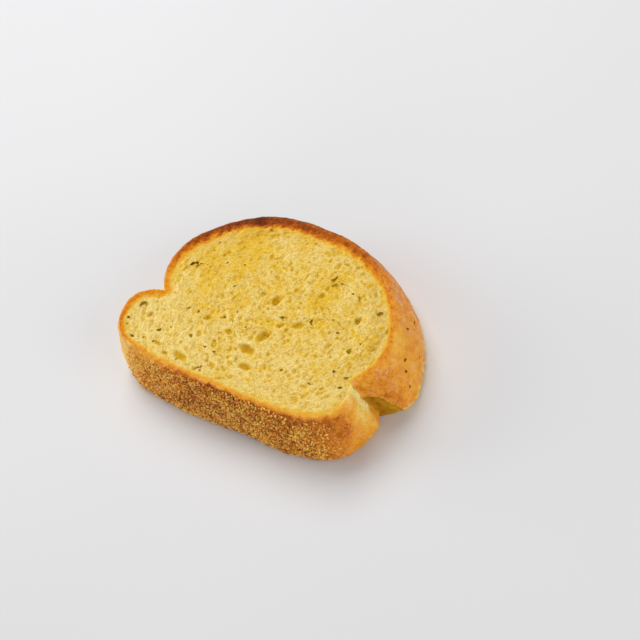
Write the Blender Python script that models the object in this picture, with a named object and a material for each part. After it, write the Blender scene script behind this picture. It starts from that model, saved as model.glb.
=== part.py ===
"""A thick slice of garlic bread, cut across a loaf baked in a tin, lying on its cut face.

Metres, +Z up.  Z is the slice's thickness, X runs along its flat bottom crust, and Y from that
crust up to the dome.  The origin is the middle of the slice's box, on the surface it lies on.
"""
import math
import random

import bmesh
import bpy
import numpy as np
from mathutils import Matrix, Vector, noise
from mathutils.geometry import delaunay_2d_cdt

# The slice as cut.  The low end of the bread is a wide loaf with a flat crust, the high end its dome.
THICKNESS = 0.0260
EDGE_ABOVE = 0.0015        # radius of the rounded edge round the upper face
EDGE_BELOW = 0.0030        # and round the underside, which the loaf's weight has pressed rounder
BULGE = 0.0012             # how far the crust swells half way up
HUB = (0.0, -0.0120)       # the point that the outline is measured from, inside both lobes
OUTSIDE = 0.1100           # further from the hub than any of the crust

# Each lobe is four quarter superellipses: its centre, its reach to each side, their powers and its tilt.
DOME = dict(x=0.0021, y=0.0042, left=0.0566, right=0.0577, up=0.0404, down=0.0267,
            power_left=2.06, power_right=1.85, power_down=2.46, tilt=-5.4)
LOAF = dict(x=-0.0011, y=-0.0203, left=0.0579, right=0.0569, up=0.0166, down=0.0172,
            power_left=3.4, power_right=3.4, power_down=3.4, tilt=0.4)

# How much further each side reaches at the underside than at the upper face.
FLARE_LEFT = 0.0045
FLARE_RIGHT = 0.0048
FLARE_DOME = 0.0050
FLARE_OVERHANG = 0.0055   # of the dome's own lower half, which hangs over the loaf's shoulders
FLARE_BASE = 0.0045
LOAF_FLARE_SHARE = 0.9    # the loaf's sides flare a little less than the dome's

# The torn seams, where the dome broke away from the loaf as it rose: the place of each at the upper face,
# its depth and its reach along the crust at the upper face and at the underside, and how far it leans to
# the dome's side on its way down.  It opens towards the underside.
SEAMS = (
    dict(place=(0.0535, -0.0150), depth=(0.0004, 0.0034), to_dome=(0.0014, 0.0040), to_loaf=(0.0012, 0.0022),
         lean=0.0020),
    dict(place=(-0.0500, -0.0070), depth=(0.0003, 0.0016), to_dome=(0.0014, 0.0040), to_loaf=(0.0014, 0.0030),
         lean=0.0),
)

# Where the crust stands out or draws in: an angle round the hub and a span each way (degrees), and how far
# at the upper face and at the underside.
UNEVEN = (
    (-175, 11, 0.0025, 0.0),       # the loaf's left shoulder is full
    (155, 12, 0.0017, 0.0),        # and so is the dome above it
    (88, 11, -0.0012, 0.0),        # the crown is a little flat
    (-148, 17, -0.0005, 0.0025),   # the left corner of the bottom crust spreads to a foot
    (-116, 30, 0.0, 0.0014),
    (-46, 13, 0.0, 0.0010),
    (-18, 10, 0.0, -0.0015),       # the right corner is undercut
    (8, 9, 0.0, 0.0024),           # and the dome spreads over it
)

# Relief of the crust and of the cut faces.
CRUST_WAVE = 0.0007
CRUST_WAVE_LENGTH = 0.0190
BLISTER = 0.00035
BLISTER_LENGTH = 0.0052
MEAL_GRAIN = 0.00038      # coarse meal baked into the bottom crust
MEAL_GRAIN_LENGTH = 0.0021
CRUMB_WAVE = 0.00045
CRUMB_WAVE_LENGTH = 0.0300
CRUMB_TEXTURE = 0.00045
CRUMB_TEXTURE_LENGTH = 0.0034
CRUST_STANDS = 0.00035    # the crust stands this far above the crumb inside it
CRUST_SLOPE = 0.0040      # and the crumb reaches its own level this far in
BASE_CRUST_FROM = 0.0060  # the mealy bottom crust starts this far below the loaf's middle

# Large open pores of the upper face: x, y, length, width, depth and the angle of the length.
PORES = (
    (0.0012, 0.0027, 0.0052, 0.0044, 0.0016, 70),
    (0.0059, -0.0133, 0.0062, 0.0046, 0.0017, 60),
    (0.0028, -0.0210, 0.0084, 0.0040, 0.0018, 0),
    (-0.0226, -0.0346, 0.0064, 0.0032, 0.0014, -10),
    (0.0067, -0.0279, 0.0060, 0.0032, 0.0013, -5),
    (0.0180, 0.0116, 0.0036, 0.0029, 0.0012, 60),
    (-0.0223, -0.0145, 0.0036, 0.0027, 0.0012, 10),
    (-0.0487, -0.0230, 0.0037, 0.0027, 0.0011, 40),
    (-0.0094, -0.0167, 0.0040, 0.0029, 0.0013, 0),
    (0.0168, -0.0035, 0.0045, 0.0035, 0.0014, 25),
    (0.0389, 0.0074, 0.0042, 0.0030, 0.0013, 70),
)
SMALL_PORES_ABOVE = 34
PORES_BELOW = 28
PORE_LENGTHS = (0.0020, 0.0032)      # of a small pore
PORE_WIDTH_SHARES = (0.60, 0.85)     # of its length
PORE_DEPTH_SHARES = (0.28, 0.38)
PORE_TURN = 35                       # degrees each way from the bottom crust's direction
PORE_WALL_POWER = 3                  # how steeply a pore's wall drops from its edge
PORE_MARGIN = 0.0045      # from the crust to the middle of a small pore
PORE_GAP = 0.0034         # between the middles of small pores
REST_CLEAR = 0.0070       # the middle of the underside is whole this far out
PORE_RINGS = ((0.55, 6), (1.0, 9))   # rings of mesh points in a pore: share of its size, and count

# Flakes of herb that show from a step away: x, y and length.
HERBS = (
    (-0.0451, 0.0059, 0.0042),
    (-0.0550, -0.0195, 0.0034),
    (-0.0498, -0.0345, 0.0034),
    (-0.0392, -0.0277, 0.0028),
    (-0.0105, -0.0363, 0.0036),
    (0.0212, -0.0004, 0.0026),
    (0.0427, -0.0057, 0.0030),
    (0.0457, 0.0130, 0.0024),
    (0.0189, 0.0206, 0.0030),
    (0.0231, 0.0196, 0.0024),
    (0.0490, -0.0166, 0.0026),
    (0.0339, 0.0165, 0.0024),
    (0.0089, -0.0031, 0.0022),
    (-0.0277, -0.0139, 0.0022),
    (-0.0149, -0.0121, 0.0020),
    (-0.0237, -0.0248, 0.0024),
    (-0.0145, -0.0268, 0.0022),
    (0.0367, -0.0244, 0.0024),
)
HERBS_SCATTERED = 20
HERB_MARGIN = 0.0032
HERB_GAP = 0.0040
HERB_PROUD = 0.00032
HERB_SUNK = 0.00050
HERB_SIDES = 6
HERB_LENGTHS = (0.0017, 0.0024)      # of a scattered flake
HERB_WIDTH_SHARES = (0.42, 0.62)     # of its length
HERB_RAGGED = 0.82                   # a corner lies at least this share of the way out
HERB_THIN = 0.55                     # and stands at least this share of the full height
HERB_UNDER_SHARE = 0.8               # of its outline, sunk in the crumb
HERB_CROWN = 1.25                    # height of its middle as a share of HERB_PROUD

# Spacing of the mesh, and the rows of the wall as shares of the thickness.
BASE_STEP = 0.0019
CRUST_STEP = 0.0029
SEAM_STEP = 0.0015
SEAM_SPAN = 0.0090        # each way along the crust from a seam
FACE_STEP = 0.0029
UNDER_STEP = 0.0040
WALL_ROWS = (0.20, 0.30, 0.40, 0.50, 0.60, 0.70, 0.81)
EDGE_ANGLES = (0, 40, 70, 90)
SEED = 23


def lobe_holds(lobe, flare, x, y):
    """Says which of the points lie inside a lobe grown by the flare (left, right, up, down)."""
    turn = math.radians(lobe["tilt"])
    dx = x - lobe["x"]
    dy = y - lobe["y"]
    along = math.cos(turn) * dx + math.sin(turn) * dy
    across = math.cos(turn) * dy - math.sin(turn) * dx
    reach_x = np.where(along < 0, lobe["left"] + flare[0], lobe["right"] + flare[1])
    reach_y = np.where(across > 0, lobe["up"] + flare[2], lobe["down"] + flare[3])
    power_up = np.where(along < 0, lobe["power_left"], lobe["power_right"])
    power = np.where(across < 0, lobe["power_down"], power_up)
    return (np.abs(along) / reach_x) ** power + (np.abs(across) / reach_y) ** power < 1


def seam_groove(seam, angles, reach, open_out):
    """Depth of a torn seam along the crust; open_out goes from 0 at the upper face to 1 at the underside."""
    def between(ends):
        return ends[0] + (ends[1] - ends[0]) * open_out
    side = 1 if seam["place"][0] > 0 else -1
    middle = math.atan2(seam["place"][1] - HUB[1], seam["place"][0] - HUB[0])
    off = (np.remainder(angles - middle + math.pi, 2 * math.pi) - math.pi) * reach * side
    off = off - seam["lean"] * open_out
    width = np.where(off > 0, between(seam["to_dome"]), between(seam["to_loaf"]))
    return between(seam["depth"]) * np.exp(-((off / width) ** 2))


def uneven_reach(angles, open_out):
    """How far the crust stands out beyond the even lobes; open_out is as for the seams."""
    total = np.zeros_like(angles)
    for degrees, span, above, below in UNEVEN:
        off = np.remainder(angles - math.radians(degrees) + math.pi, 2 * math.pi) - math.pi
        total += (above + (below - above) * open_out) * np.exp(-((off / math.radians(span)) ** 2))
    return total


def outline_reach(angles, share):
    """How far the smooth crust is from the hub along each angle, at a share of the thickness."""
    swell = BULGE * 4 * share * (1 - share)
    open_out = 1 - share
    left = FLARE_LEFT * open_out + swell
    right = FLARE_RIGHT * open_out + swell
    dome_flare = (left, right, FLARE_DOME * open_out + swell, FLARE_OVERHANG * open_out)
    loaf_flare = (left * LOAF_FLARE_SHARE, right * LOAF_FLARE_SHARE, 0.0, FLARE_BASE * open_out + swell)
    near = np.zeros_like(angles)
    far = np.full_like(angles, OUTSIDE)
    for _ in range(30):
        middle = (near + far) / 2
        x = HUB[0] + middle * np.cos(angles)
        y = HUB[1] + middle * np.sin(angles)
        inside = lobe_holds(DOME, dome_flare, x, y) | lobe_holds(LOAF, loaf_flare, x, y)
        near = np.where(inside, middle, near)
        far = np.where(inside, far, middle)
    near = near + uneven_reach(angles, open_out)
    return near - sum(seam_groove(seam, angles, near, open_out) for seam in SEAMS)


def edge_inset(height):
    """How far the rounded edges draw the crust in at a height."""
    radius = EDGE_BELOW if height < THICKNESS / 2 else EDGE_ABOVE
    from_edge = min(height, THICKNESS - height)
    if from_edge >= radius:
        return 0.0
    return radius - math.sqrt(radius ** 2 - (radius - from_edge) ** 2)


def even_angles():
    """Angles round the hub that step evenly along the crust, and closer at the bottom crust and the seams."""
    fine = np.linspace(-math.pi, math.pi, 1441)
    reach = outline_reach(fine, 0.5)
    x = HUB[0] + reach * np.cos(fine)
    y = HUB[1] + reach * np.sin(fine)
    steps = np.hypot(np.diff(x), np.diff(y))
    on_base = (y[1:] < LOAF["y"]) & (np.abs(x[1:]) < LOAF["left"])
    step = np.where(on_base, BASE_STEP, CRUST_STEP)
    for seam in SEAMS:
        from_seam = np.hypot(x[1:] - seam["place"][0], y[1:] - seam["place"][1])
        step = np.where(from_seam < SEAM_SPAN, SEAM_STEP, step)
    run = np.concatenate(([0.0], np.cumsum(steps / step)))
    count = round(run[-1])
    return np.interp(np.arange(count) * run[-1] / count, run, fine)


def wall_heights():
    """Heights of the wall's rows: two rounded edges and the rows between them."""
    rises = [1 - math.cos(math.radians(angle)) for angle in EDGE_ANGLES]
    low = [EDGE_BELOW * rise for rise in rises]
    rows = [share * THICKNESS for share in WALL_ROWS]
    high = [THICKNESS - EDGE_ABOVE * rise for rise in reversed(rises)]
    return low + rows + high


def crust_relief(place, height):
    """How far the crust stands out at a place on the wall; nothing at its two edges."""
    wave = CRUST_WAVE * noise.noise(place / CRUST_WAVE_LENGTH)
    blister = BLISTER * noise.noise(place / BLISTER_LENGTH)
    on_base = min(1.0, max(0.0, (LOAF["y"] - place.y) / BASE_CRUST_FROM - 1))
    meal = MEAL_GRAIN * on_base * noise.noise(place / MEAL_GRAIN_LENGTH)
    from_edge = min(height, THICKNESS - height)
    fade = min(1.0, from_edge / (0.5 * EDGE_ABOVE))
    return (wave + blister + meal) * fade


def make_ring(angles, height, shift):
    """The points of one row of the wall."""
    reach = outline_reach(angles, height / THICKNESS) - edge_inset(height)
    points = []
    for angle, distance in zip(angles, reach):
        way = Vector((math.cos(angle), math.sin(angle), 0.0))
        place = Vector((HUB[0], HUB[1], height)) + way * distance
        place += way * crust_relief(place, height)
        points.append(place + shift)
    return points


def box_shift(angles):
    """The move that brings the middle of the smooth slice's box to the origin."""
    low = np.array([math.inf, math.inf])
    high = -low
    for height in wall_heights():
        reach = outline_reach(angles, height / THICKNESS) - edge_inset(height)
        ring = np.array([HUB[0] + reach * np.cos(angles), HUB[1] + reach * np.sin(angles)])
        low = np.minimum(low, ring.min(axis=1))
        high = np.maximum(high, ring.max(axis=1))
    middle = (low + high) / 2
    return Vector((-middle[0], -middle[1], 0.0))


def pore_dent(pore, x, y):
    """Depth of one pore at a place; nothing outside it."""
    turn = math.radians(pore[5])
    dx = x - pore[0]
    dy = y - pore[1]
    along = (math.cos(turn) * dx + math.sin(turn) * dy) / (pore[2] / 2)
    across = (math.cos(turn) * dy - math.sin(turn) * dx) / (pore[3] / 2)
    out = math.hypot(along, across)
    if out >= 1:
        return 0.0
    return pore[4] * (1 - out ** PORE_WALL_POWER)


def pore_rings(pore):
    """Points round a pore's edge and half way in, and its deepest point."""
    turn = math.radians(pore[5])
    points = [(pore[0], pore[1])]
    for share, sides in PORE_RINGS:
        for i in range(sides):
            a = 2 * math.pi * (i + share) / sides
            along = share * pore[2] / 2 * math.cos(a)
            across = share * pore[3] / 2 * math.sin(a)
            x = pore[0] + math.cos(turn) * along - math.sin(turn) * across
            y = pore[1] + math.sin(turn) * along + math.cos(turn) * across
            points.append((x, y))
    return points


def scatter(draw, count, ring, margin, gap, taken):
    """Seeded places in a ring, a margin from it, a gap apart and clear of what is taken (x, y, radius)."""
    xs = [p.x for p in ring]
    ys = [p.y for p in ring]
    places = []
    tries = 0
    while len(places) < count and tries < 100 * count:
        tries += 1
        place = (draw.uniform(min(xs), max(xs)), draw.uniform(min(ys), max(ys)))
        clear = all(math.dist(place, other) > gap for other in places)
        clear = clear and all(math.dist(place, other[:2]) > other[2] + gap / 2 for other in taken)
        if clear and ring_margin(place, ring) > margin:
            places.append(place)
    return places


def ring_margin(place, ring):
    """How far inside a ring a place lies; negative outside."""
    best = math.inf
    inside = False
    for a, b in zip(ring, ring[1:] + ring[:1]):
        side = b - a
        along = ((place[0] - a.x) * side.x + (place[1] - a.y) * side.y) / (side.x ** 2 + side.y ** 2)
        along = min(1.0, max(0.0, along))
        best = min(best, math.hypot(place[0] - a.x - along * side.x, place[1] - a.y - along * side.y))
        if (a.y > place[1]) != (b.y > place[1]):
            crossing = a.x + (place[1] - a.y) * side.x / side.y
            if crossing > place[0]:
                inside = not inside
    return best if inside else -best


def small_pores(draw, count, ring, taken):
    """Further pores of seeded place and size, longest along the loaf's bottom crust."""
    pores = []
    for x, y in scatter(draw, count, ring, PORE_MARGIN, PORE_GAP, taken):
        length = draw.uniform(*PORE_LENGTHS)
        width = length * draw.uniform(*PORE_WIDTH_SHARES)
        depth = length * draw.uniform(*PORE_DEPTH_SHARES)
        pores.append((x, y, length, width, depth, draw.uniform(-PORE_TURN, PORE_TURN)))
    return pores


def face_height(x, y, pores, from_crust, flat):
    """Height of a cut face over its plane; a flat face keeps to the plane apart from its pores."""
    dent = max((pore_dent(pore, x, y) for pore in pores), default=0.0)
    if flat:
        return -dent
    wave = CRUMB_WAVE * noise.noise(Vector((x, y, 0.0)) / CRUMB_WAVE_LENGTH)
    texture = CRUMB_TEXTURE * noise.noise(Vector((x, y, 0.3)) / CRUMB_TEXTURE_LENGTH)
    fade = min(1.0, from_crust / CRUST_SLOPE)
    return (wave + texture - CRUST_STANDS) * fade - dent


def fill_face(mesh, ring, step, pores, upward):
    """Closes the slice with a cut face: an even field of points, with more round each pore."""
    edge = [vertex.co.copy() for vertex in ring]
    rounds = [point for pore in pores for point in pore_rings(pore)]
    points = list(rounds)
    row_step = step * math.sqrt(3) / 2
    xs = [p.x for p in edge]
    ys = [p.y for p in edge]
    for row in range(int((max(ys) - min(ys)) / row_step) + 1):
        for column in range(int((max(xs) - min(xs)) / step) + 1):
            x = min(xs) + (column + 0.5 * (row % 2)) * step
            y = min(ys) + row * row_step
            in_pore = any(pore_dent(pore, x, y) > 0 for pore in pores)
            near_pore = any(math.dist((x, y), p) < 0.55 * step for p in rounds)
            if not in_pore and not near_pore and ring_margin((x, y), edge) > 0.6 * step:
                points.append((x, y))
    flat_points = [Vector((p.x, p.y)) for p in edge] + [Vector(p) for p in points]
    loop = list(range(len(edge)))
    made = delaunay_2d_cdt(flat_points, [], [loop], 1, 1e-7)
    level = edge[0].z
    vertices = []
    for place, sources in zip(made[0], made[3]):
        if sources and sources[0] < len(ring):
            vertices.append(ring[sources[0]])
            continue
        from_crust = ring_margin(place, edge)
        lift = face_height(place.x, place.y, pores, from_crust, not upward)
        vertices.append(mesh.verts.new((place.x, place.y, level + (lift if upward else -lift))))
    for corners in made[2]:
        order = corners if upward else tuple(reversed(corners))
        mesh.faces.new([vertices[i] for i in order])


def make_slice(materials):
    """The bread itself: a crust wall of rings between two cut faces."""
    draw = random.Random(SEED)
    angles = even_angles()
    shift = box_shift(angles)
    mesh = bmesh.new()
    rings = []
    for height in wall_heights():
        rings.append([mesh.verts.new(p) for p in make_ring(angles, height, shift)])
    count = len(angles)
    for low, high in zip(rings, rings[1:]):
        for i in range(count):
            j = (i + 1) % count
            mesh.faces.new((low[i], low[j], high[j], high[i]))
    crust_faces = list(mesh.faces)
    top = [v.co.copy() for v in rings[-1]]
    bottom = [v.co.copy() for v in rings[0]]
    taken = [(pore[0], pore[1], pore[2] / 2) for pore in PORES]
    taken += [(herb[0], herb[1], herb[2] / 2) for herb in HERBS]
    pores_above = list(PORES) + small_pores(draw, SMALL_PORES_ABOVE, top, taken)
    pores_below = small_pores(draw, PORES_BELOW, bottom, [(0.0, 0.0, REST_CLEAR)])
    fill_face(mesh, rings[-1], FACE_STEP, pores_above, True)
    fill_face(mesh, rings[0], UNDER_STEP, pores_below, False)
    bmesh.ops.triangulate(mesh, faces=crust_faces)
    for face in mesh.faces:
        face.smooth = True
        face.material_index = 1 if abs(face.normal.z) < 0.6 else 0
    data = bpy.data.meshes.new("garlic_bread")
    mesh.to_mesh(data)
    mesh.free()
    for material in materials:
        data.materials.append(material)
    bread = bpy.data.objects.new("garlic_bread", data)
    bpy.context.scene.collection.objects.link(bread)
    return bread, top, [(pore[0], pore[1], pore[2] / 2) for pore in pores_above]


def make_herb(place, normal, length, turn, draw, name, material):
    """One flake of dried herb: a thin, uneven tablet that lies in the surface and stands a little proud."""
    upright = normal.to_track_quat("Z", "Y").to_matrix().to_4x4()
    stand = Matrix.Translation(place) @ upright @ Matrix.Rotation(turn, 4, "Z")
    width = length * draw.uniform(*HERB_WIDTH_SHARES)
    mesh = bmesh.new()
    sunk = []
    proud = []
    for i in range(HERB_SIDES):
        a = 2 * math.pi * i / HERB_SIDES
        out = draw.uniform(HERB_RAGGED, 1.0)
        x = out * length / 2 * math.cos(a)
        y = out * width / 2 * math.sin(a)
        under = Vector((x * HERB_UNDER_SHARE, y * HERB_UNDER_SHARE, -HERB_SUNK))
        sunk.append(mesh.verts.new(stand @ under))
        proud.append(mesh.verts.new(stand @ Vector((x, y, HERB_PROUD * draw.uniform(HERB_THIN, 1.0)))))
    mesh.faces.new(list(reversed(sunk)))
    crown = mesh.verts.new(stand @ Vector((0.0, 0.0, HERB_PROUD * HERB_CROWN)))
    for i in range(HERB_SIDES):
        j = (i + 1) % HERB_SIDES
        mesh.faces.new((sunk[i], sunk[j], proud[j], proud[i]))
        mesh.faces.new((proud[i], proud[j], crown))
    bmesh.ops.triangulate(mesh, faces=list(mesh.faces))
    data = bpy.data.meshes.new(name)
    mesh.to_mesh(data)
    mesh.free()
    data.materials.append(material)
    return bpy.data.objects.new(name, data)


def add_herbs(bread, ring, taken, material):
    """Scatters the herb flakes over the upper face and joins them to the bread with one union."""
    draw = random.Random(SEED + 1)
    flakes = bpy.data.collections.new("herb_flakes")
    bpy.context.scene.collection.children.link(flakes)
    named = [(herb[0], herb[1], herb[2] / 2) for herb in HERBS]
    spare = scatter(draw, HERBS_SCATTERED, ring, HERB_MARGIN, HERB_GAP, taken + named)
    wanted = [(x, y, length) for x, y, length in HERBS]
    wanted += [(x, y, draw.uniform(*HERB_LENGTHS)) for x, y in spare]
    bpy.context.view_layer.update()
    for number, (x, y, length) in enumerate(wanted):
        hit, place, normal, _ = bread.ray_cast(Vector((x, y, 2 * THICKNESS)), Vector((0, 0, -1)))
        if hit:
            turn = draw.uniform(0, math.pi)
            flake = make_herb(place, normal, length, turn, draw, f"herb_{number}", material)
            flakes.objects.link(flake)
    union = bread.modifiers.new("herbs", "BOOLEAN")
    union.operation = "UNION"
    union.operand_type = "COLLECTION"
    union.collection = flakes
    union.solver = "EXACT"
    union.material_mode = "TRANSFER"
    bpy.context.view_layer.update()
    joined = bpy.data.meshes.new_from_object(bread.evaluated_get(bpy.context.evaluated_depsgraph_get()))
    bread.modifiers.clear()
    bread.data = joined
    joined.name = "garlic_bread"
    for flake in list(flakes.objects):
        bpy.data.objects.remove(flake)
    bpy.data.collections.remove(flakes)


def make_material(name, colour, roughness):
    """A Principled BSDF of one colour."""
    material = bpy.data.materials.new(name)
    material.use_nodes = True
    shader = material.node_tree.nodes["Principled BSDF"]
    shader.inputs["Base Color"].default_value = (*colour, 1.0)
    shader.inputs["Roughness"].default_value = roughness
    shader.inputs["Metallic"].default_value = 0.0
    return material


def main():
    for old in list(bpy.data.objects):
        bpy.data.objects.remove(old)
    crumb = make_material("buttered_crumb", (0.78, 0.56, 0.17), 0.55)
    crust = make_material("baked_crust", (0.50, 0.23, 0.06), 0.50)
    herb = make_material("dried_herb", (0.12, 0.10, 0.02), 0.70)
    bread, ring, taken = make_slice((crumb, crust))
    add_herbs(bread, ring, taken, herb)


main()
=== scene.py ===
"""The looks of a thick slice of garlic bread, lying on its cut face on a pale floor.

Metres, +Z up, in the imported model's frame: X along the flat bottom crust, Y up to the dome, Z through
the slice.  The bread is one closed skin; loose meal on its bottom crust and flakes of herb lie on it.
"""

import itertools
import math

import bpy
import numpy as np
from mathutils import Matrix, Vector, kdtree
from mathutils.geometry import delaunay_2d_cdt


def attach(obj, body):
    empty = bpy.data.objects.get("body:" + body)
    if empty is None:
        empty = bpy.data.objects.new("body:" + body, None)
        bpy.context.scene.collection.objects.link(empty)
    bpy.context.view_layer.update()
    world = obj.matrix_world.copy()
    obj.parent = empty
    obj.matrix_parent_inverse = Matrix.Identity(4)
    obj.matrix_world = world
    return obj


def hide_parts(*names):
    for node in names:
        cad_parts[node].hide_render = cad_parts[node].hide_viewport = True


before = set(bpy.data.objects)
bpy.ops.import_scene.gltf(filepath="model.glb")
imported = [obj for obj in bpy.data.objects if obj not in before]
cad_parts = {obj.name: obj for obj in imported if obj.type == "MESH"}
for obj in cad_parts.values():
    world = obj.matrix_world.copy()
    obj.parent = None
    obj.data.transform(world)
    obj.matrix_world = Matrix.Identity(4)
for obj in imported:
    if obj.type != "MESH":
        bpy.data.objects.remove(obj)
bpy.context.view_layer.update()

MM = 0.001

# ---- the slice's form, as in the solids
THICKNESS = 26.0 * MM
CRUMB_SINK = 0.35 * MM             # the upper crumb lies so much lower than the crust's edge
EDGE_ABOVE = 1.5 * MM
EDGE_BELOW = 3.0 * MM
BULGE = 1.2 * MM
HUB = (0.0, -12.0 * MM)            # angles round the slice are seen from here,
OUTSIDE = 110.0 * MM               # and this far away no crust is left
HALVINGS = 26                      # of that way, to find the crust
DOME = dict(x=2.1 * MM, y=4.2 * MM, left=56.6 * MM, right=57.7 * MM, up=40.4 * MM, down=26.7 * MM,
            power_left=2.06, power_right=1.85, power_down=2.46, tilt=-5.4)
LOAF = dict(x=-1.1 * MM, y=-20.3 * MM, left=57.9 * MM, right=56.9 * MM, up=16.6 * MM, down=17.2 * MM,
            power_left=3.4, power_right=3.4, power_down=3.4, tilt=0.4)
FLARE_LEFT = 4.5 * MM
FLARE_RIGHT = 4.8 * MM
FLARE_DOME = 5.0 * MM
FLARE_OVERHANG = 5.5 * MM
FLARE_BASE = 4.5 * MM
LOAF_FLARE_SHARE = 0.9
RIGHT_SEAM = dict(place=(53.5 * MM, -15.0 * MM), depth=(0.4 * MM, 3.4 * MM),
                  to_dome=(1.4 * MM, 4.0 * MM), to_loaf=(1.2 * MM, 2.2 * MM), lean=2.0 * MM)
LEFT_SEAM = dict(place=(-50.0 * MM, -7.0 * MM), depth=(0.3 * MM, 1.6 * MM),
                 to_dome=(1.4 * MM, 4.0 * MM), to_loaf=(1.4 * MM, 3.0 * MM), lean=0.0)
SEAMS = (RIGHT_SEAM, LEFT_SEAM)
# Where the crust stands out or draws in: an angle round the hub and a span each way (degrees), and how far
# at the upper face and at the underside (mm).
UNEVEN = (
    (-175, 11, 2.5, 0.0), (155, 12, 1.7, 0.0), (88, 11, -1.2, 0.0), (-148, 17, -0.5, 2.5),
    (-116, 30, 0.0, 1.4), (-46, 13, 0.0, 1.0), (-18, 10, 0.0, -1.5), (8, 9, 0.0, 2.4),
)

# Large open pores of the upper face: x, y, length, width, depth (mm) and the angle of the length.
PORES = (
    (1.2, 2.7, 5.2, 4.4, 1.5, 70), (5.9, -13.3, 6.2, 4.6, 1.6, 60), (2.8, -21.0, 8.4, 4.0, 1.7, 0),
    (-22.6, -34.6, 7.0, 3.2, 1.3, -10), (6.7, -27.9, 6.0, 3.2, 1.2, -5), (18.0, 11.6, 3.6, 2.9, 1.0, 60),
    (-22.3, -14.5, 3.6, 2.7, 0.9, 10), (-48.7, -23.0, 3.7, 2.7, 0.8, 40), (-9.4, -16.7, 4.0, 2.9, 1.0, 0),
    (16.8, -3.5, 4.5, 3.5, 1.1, 25), (38.9, 7.4, 4.2, 3.0, 1.1, 70), (-36.0, -33.0, 4.6, 2.2, 0.8, -12),
    (10.0, -6.5, 3.6, 2.4, 0.8, 30), (-30.0, -36.0, 3.4, 1.8, 0.7, -5),
)

# ---- mesh spacing
FACE_STEP = 0.42 * MM
UNDER_STEP = 1.15 * MM
COLUMN_STEP = 0.60 * MM
ROW_STEP = 0.58 * MM
MAP_STEP = 0.20 * MM
MAP_HALF = (68 * MM, 50 * MM)
SEED = 41                          # of the random draws and the maps of the crumb
SWIRL = (8.0 * MM, 0.0)            # the crumb's pores lie round this place,
STILL = 14.0 * MM                  # and any way within this radius of it


# ---- helpers
def srgb(red, green, blue):
    """A linear colour from one read as 0 to 255."""
    parts = np.array([red, green, blue]) / 255
    return tuple(np.where(parts <= 0.04045, parts / 12.92, ((parts + 0.055) / 1.055) ** 2.4)) + (1.0,)


def ease(values, low, high):
    """From 0 at low to 1 at high, smoothly."""
    t = np.clip((values - low) / (high - low), 0, 1)
    return t * t * (3 - 2 * t)


def bell(off, width):
    """1 where off is 0, and next to nothing two widths away."""
    return np.exp(-((off / width) ** 2))


def plateau(values, rise, fall):
    """0, then 1 past both numbers of the rise, then 0 again past both of the fall."""
    return ease(values, *rise) * (1 - ease(values, *fall))


# Large numbers that scatter whole numbers evenly.
SCATTER = (73856093, 19349663, 83492791, 7919)
FIRST_STIR = 1274126177
SECOND_STIR = 668265263
WORD = 0xFFFFFFFF
HALF_WORD = 0xFFFF


def stir(*numbers):
    """Whole numbers, or arrays of them, mixed into one that looks random."""
    mixed = 0
    for number, scatter in zip(numbers, SCATTER):
        mixed = mixed ^ (number * scatter)
    return (mixed ^ (mixed >> 13)) * FIRST_STIR & WORD


def noise_at(points, length, seed):
    """Smooth noise from about -1 to 1 at points (n, 3), with features of the given length."""
    places = points / length + seed * 17.31
    cell = np.floor(places).astype(np.int64)
    part = places - cell
    part = part * part * (3 - 2 * part)
    total = np.zeros(len(points))
    for corner in range(8):
        step = np.array([corner & 1, corner >> 1 & 1, corner >> 2 & 1])
        mixed = stir(*(cell + step).T, seed)
        value = ((mixed ^ (mixed >> 16)) & HALF_WORD) / (HALF_WORD / 2) - 1
        total += np.prod(np.where(step, part, 1 - part), axis=1) * value
    return total


def cloud_at(points, length, seed, octaves=3):
    """Noises together, each half as long and 0.6 times as strong as the one before it."""
    total = np.zeros(len(points))
    for octave in range(octaves):
        total += noise_at(points, length / 2 ** octave, seed + octave) * 0.6 ** octave
    return total


def flat_noise(x, y, length, seed, octaves=1):
    """The same over a plane."""
    points = np.column_stack([np.ravel(x), np.ravel(y), np.zeros(np.size(x))])
    return cloud_at(points, length, seed, octaves).reshape(np.shape(x))


def rough(points, length, height, seed, octaves):
    """A relief of such noises; its length and height are in mm."""
    return height * MM * cloud_at(points, length * MM, seed, octaves)


def blend(grid, row, column, around=None):
    """A grid's values between its rows and columns; it may meet itself after so many columns."""
    r = np.clip(row.astype(int), 0, grid.shape[0] - 2)
    c = np.floor(column).astype(int)
    here, after = (c, c + 1) if around is None else (c % around, (c + 1) % around)
    shape = np.shape(row) + (1,) * (grid.ndim - 2)
    u, v = (column - c).reshape(shape), (row - r).reshape(shape)
    low = grid[r, here] * (1 - u) + grid[r, after] * u
    high = grid[r + 1, here] * (1 - u) + grid[r + 1, after] * u
    return low * (1 - v) + high * v


def scramble(key, seed):
    """A number from 0 to 1 for each pair of whole numbers."""
    mixed = stir(key[..., 0], key[..., 1], seed)
    mixed = (mixed ^ (mixed >> 16)) * SECOND_STIR & WORD
    return ((mixed ^ (mixed >> 15)) & HALF_WORD) / HALF_WORD


ENDLESS = 1 << 20                  # cells, more than any foam here has
LOOSE = 0.9                        # share of a foam's cell that its middle may lie in


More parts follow.
